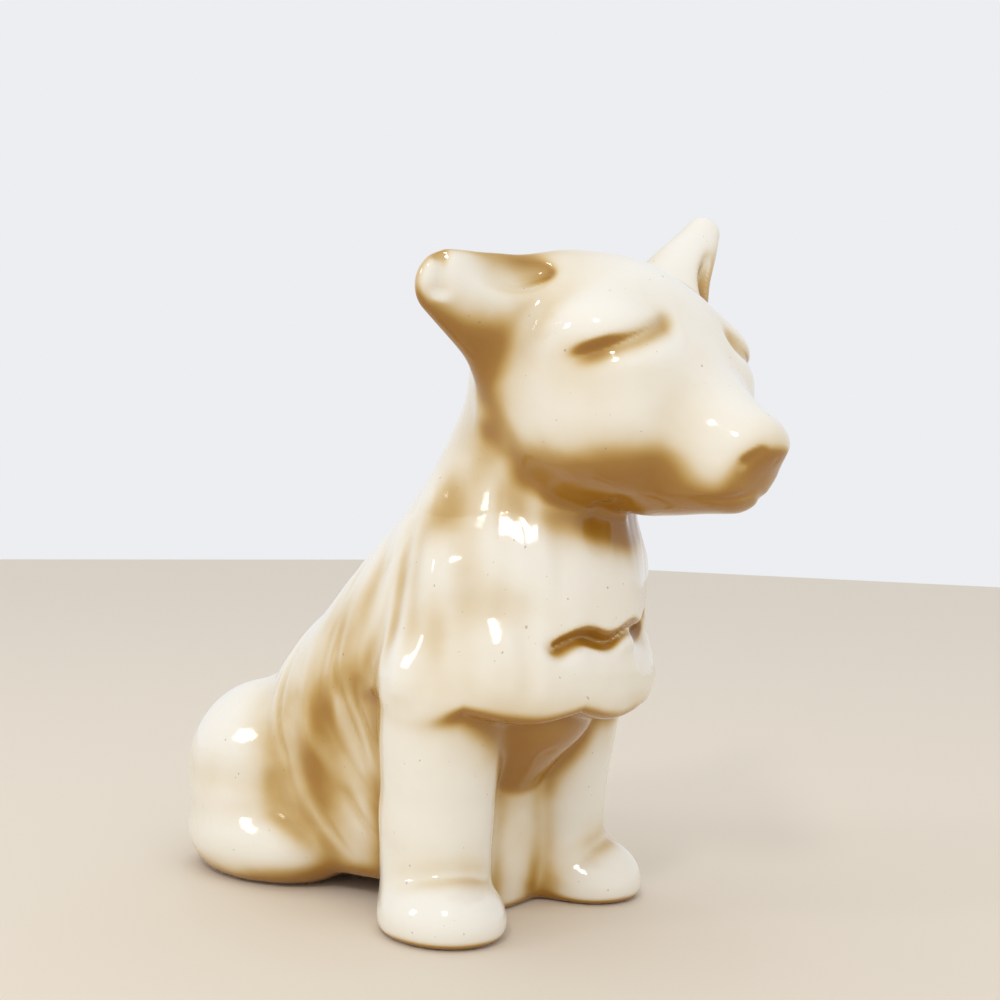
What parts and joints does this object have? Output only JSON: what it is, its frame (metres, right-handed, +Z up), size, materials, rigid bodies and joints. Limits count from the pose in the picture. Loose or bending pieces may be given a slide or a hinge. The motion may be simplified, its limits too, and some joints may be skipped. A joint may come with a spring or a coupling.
{
  "type": "dog figurine",
  "caption": "Free-standing glazed ceramic terrier that sits upright with a thick chest ruff and swept-out ears, hollow cast, for display on a shelf or table.",
  "frame": {"origin": "on the plane the feet stand on, below the middle of the figure's bounding box", "axes": "+Z up; the dog's nose points to -Y; its right side is -X"},
  "size_m": [0.0754, 0.1232, 0.1263],
  "materials": {
    "glaze": "high gloss, transparent cream glaze that pools ochre in hollows"
  },
  "bodies": {
    "root": {"torso": "glaze", "head": "glaze", "ear_right": "glaze", "ear_left": "glaze", "foreleg_right": "glaze", "foreleg_left": "glaze", "hind_leg_right": "glaze", "hind_leg_left": "glaze", "tail": "glaze"}
  },
  "joints": []
}
